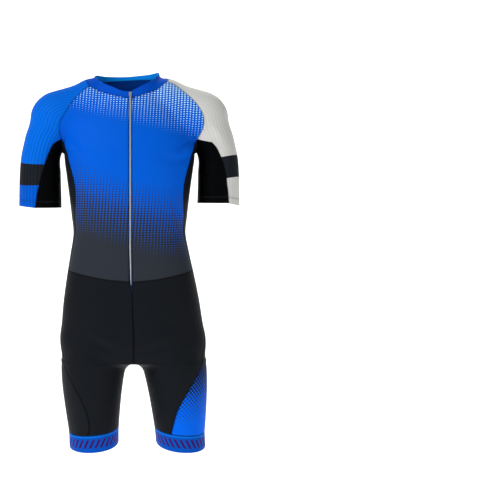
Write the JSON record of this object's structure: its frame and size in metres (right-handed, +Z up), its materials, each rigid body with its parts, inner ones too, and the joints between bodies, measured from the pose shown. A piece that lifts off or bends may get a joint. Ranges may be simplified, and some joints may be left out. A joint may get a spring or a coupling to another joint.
{
  "type": "speed skating suit",
  "caption": "Short-sleeved speed skating skinsuit in worn form: front zip, collar, raglan sleeves, one blue and one white, side panels, back pocket and leg grippers.",
  "frame": {"origin": "mount worn_on_shoulders: on the body's centre line at the base of the neck, where the shoulders carry the suit", "axes": "+Z up along the worn suit, -Y towards the wearer's front, +X towards the wearer's left"},
  "size_m": [0.5503, 0.2459, 0.9354],
  "materials": {
    "blue_fabric": "matte knit",
    "blue_gripper": "matte elastic",
    "charcoal_fabric": "matte knit",
    "black_fabric": "satin knit",
    "white_fabric": "matte ribbed",
    "zip_metal": "satin",
    "zip_tape": "matte"
  },
  "bodies": {
    "suit": {"back": "blue_fabric", "back_pocket": "blue_fabric", "collar": "blue_fabric", "front_left": "blue_fabric", "front_right": "blue_fabric", "gripper_left": "blue_gripper", "gripper_right": "blue_gripper", "lower_back": "charcoal_fabric", "seat_left": "black_fabric", "seat_right": "black_fabric", "shorts_front_left": "black_fabric", "shorts_front_right": "black_fabric", "side_left": "charcoal_fabric", "side_right": "charcoal_fabric", "sleeve_left": "white_fabric", "sleeve_right": "blue_fabric", "under_sleeve_left": "black_fabric", "under_sleeve_right": "black_fabric", "zip_slider": "zip_metal", "zip_strip": "zip_tape"},
    "pull": {"zip_pull": "zip_metal"}
  },
  "joints": [
    {"name": "pull_swing", "type": "hinge", "parent": "suit", "child": "pull", "pos_m": [0.002, -0.07684, -0.04435], "axis": [-1, 0, 0], "range_deg": [0, 140]}
  ]
}
